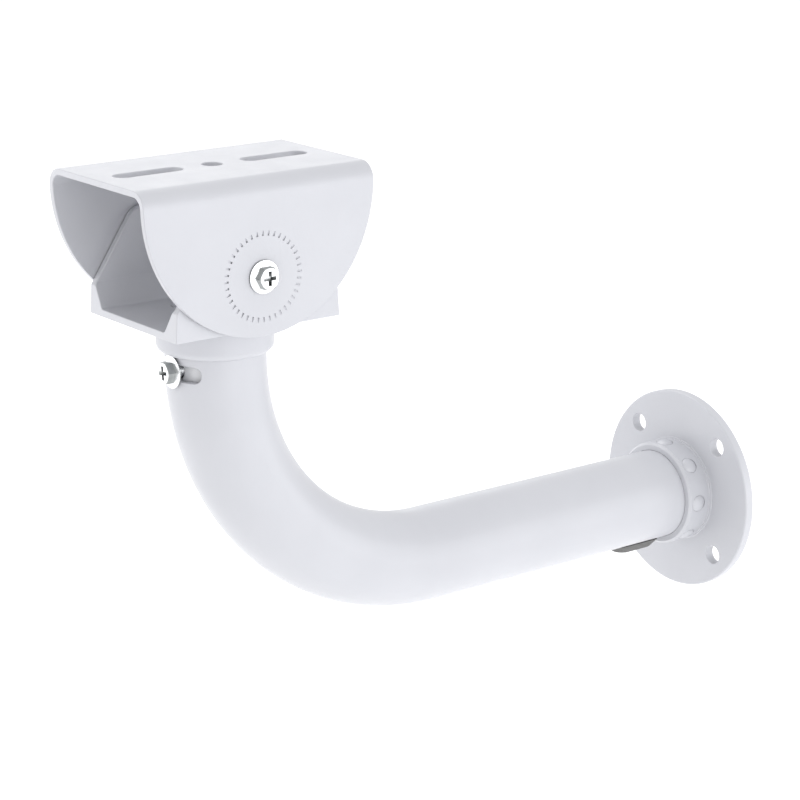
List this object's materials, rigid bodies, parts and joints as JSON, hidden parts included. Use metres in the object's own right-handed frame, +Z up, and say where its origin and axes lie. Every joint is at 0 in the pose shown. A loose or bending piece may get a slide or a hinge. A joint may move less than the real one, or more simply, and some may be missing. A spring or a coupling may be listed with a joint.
{
  "type": "security camera wall bracket",
  "caption": "White bent-tube wall bracket for a security camera: a round wall flange, a tube that runs out and turns up, and a swivelling, tilting saddle under a slotted plate.",
  "frame": {"origin": "centre of the wall flange's back face, on the wall", "axes": "+Y into the wall, so the arm runs out along -Y; +Z up, towards the camera plate; +X to the side"},
  "size_m": [0.09, 0.3038, 0.2222],
  "materials": {
    "powder_coat": "gloss",
    "plated_steel": "polished",
    "grommet_rubber": "matte"
  },
  "bodies": {
    "arm": {"wall_flange": "powder_coat", "collar_rivet_1": "powder_coat", "collar_rivet_2": "powder_coat", "collar_rivet_3": "powder_coat", "collar_rivet_4": "powder_coat", "collar_rivet_5": "powder_coat", "collar_rivet_6": "powder_coat", "collar_rivet_7": "powder_coat", "collar_rivet_8": "powder_coat", "arm_tube": "powder_coat", "cable_grommet": "grommet_rubber"},
    "swivel_head": {"swivel_spigot": "powder_coat", "spigot_screw_1": "plated_steel", "spigot_screw_2": "plated_steel", "spigot_screw_3": "plated_steel", "spigot_screw_4": "plated_steel", "lower_saddle": "powder_coat", "tilt_nut_right": "plated_steel", "tilt_nut_left": "plated_steel"},
    "camera_saddle": {"upper_saddle": "powder_coat"},
    "right_clamp_screw": {"tilt_screw_right": "plated_steel"},
    "left_clamp_screw": {"tilt_screw_left": "plated_steel"},
    "lock_screw": {"swivel_lock_screw": "plated_steel"}
  },
  "joints": [
    {"name": "swivel", "type": "hinge", "parent": "arm", "child": "swivel_head", "pos_m": [0, -0.2525, 0.112], "axis": [0, 0, 1], "range_deg": [-30, 30]},
    {"name": "tilt", "type": "hinge", "parent": "swivel_head", "child": "camera_saddle", "pos_m": [0, -0.2525, 0.1398], "axis": [1, 0, 0], "range_deg": [-72, 72]},
    {"name": "right_clamp", "type": "hinge", "parent": "swivel_head", "child": "right_clamp_screw", "pos_m": [0.0336, -0.2525, 0.1398], "axis": [1, 0, 0], "range_deg": [0, 180]},
    {"name": "left_clamp", "type": "hinge", "parent": "swivel_head", "child": "left_clamp_screw", "pos_m": [-0.0336, -0.2525, 0.1398], "axis": [-1, 0, 0], "range_deg": [0, 180]},
    {"name": "swivel_lock", "type": "hinge", "parent": "swivel_head", "child": "lock_screw", "pos_m": [0, -0.27255, 0.0992], "axis": [0, -1, 0], "range_deg": [0, 180]}
  ]
}
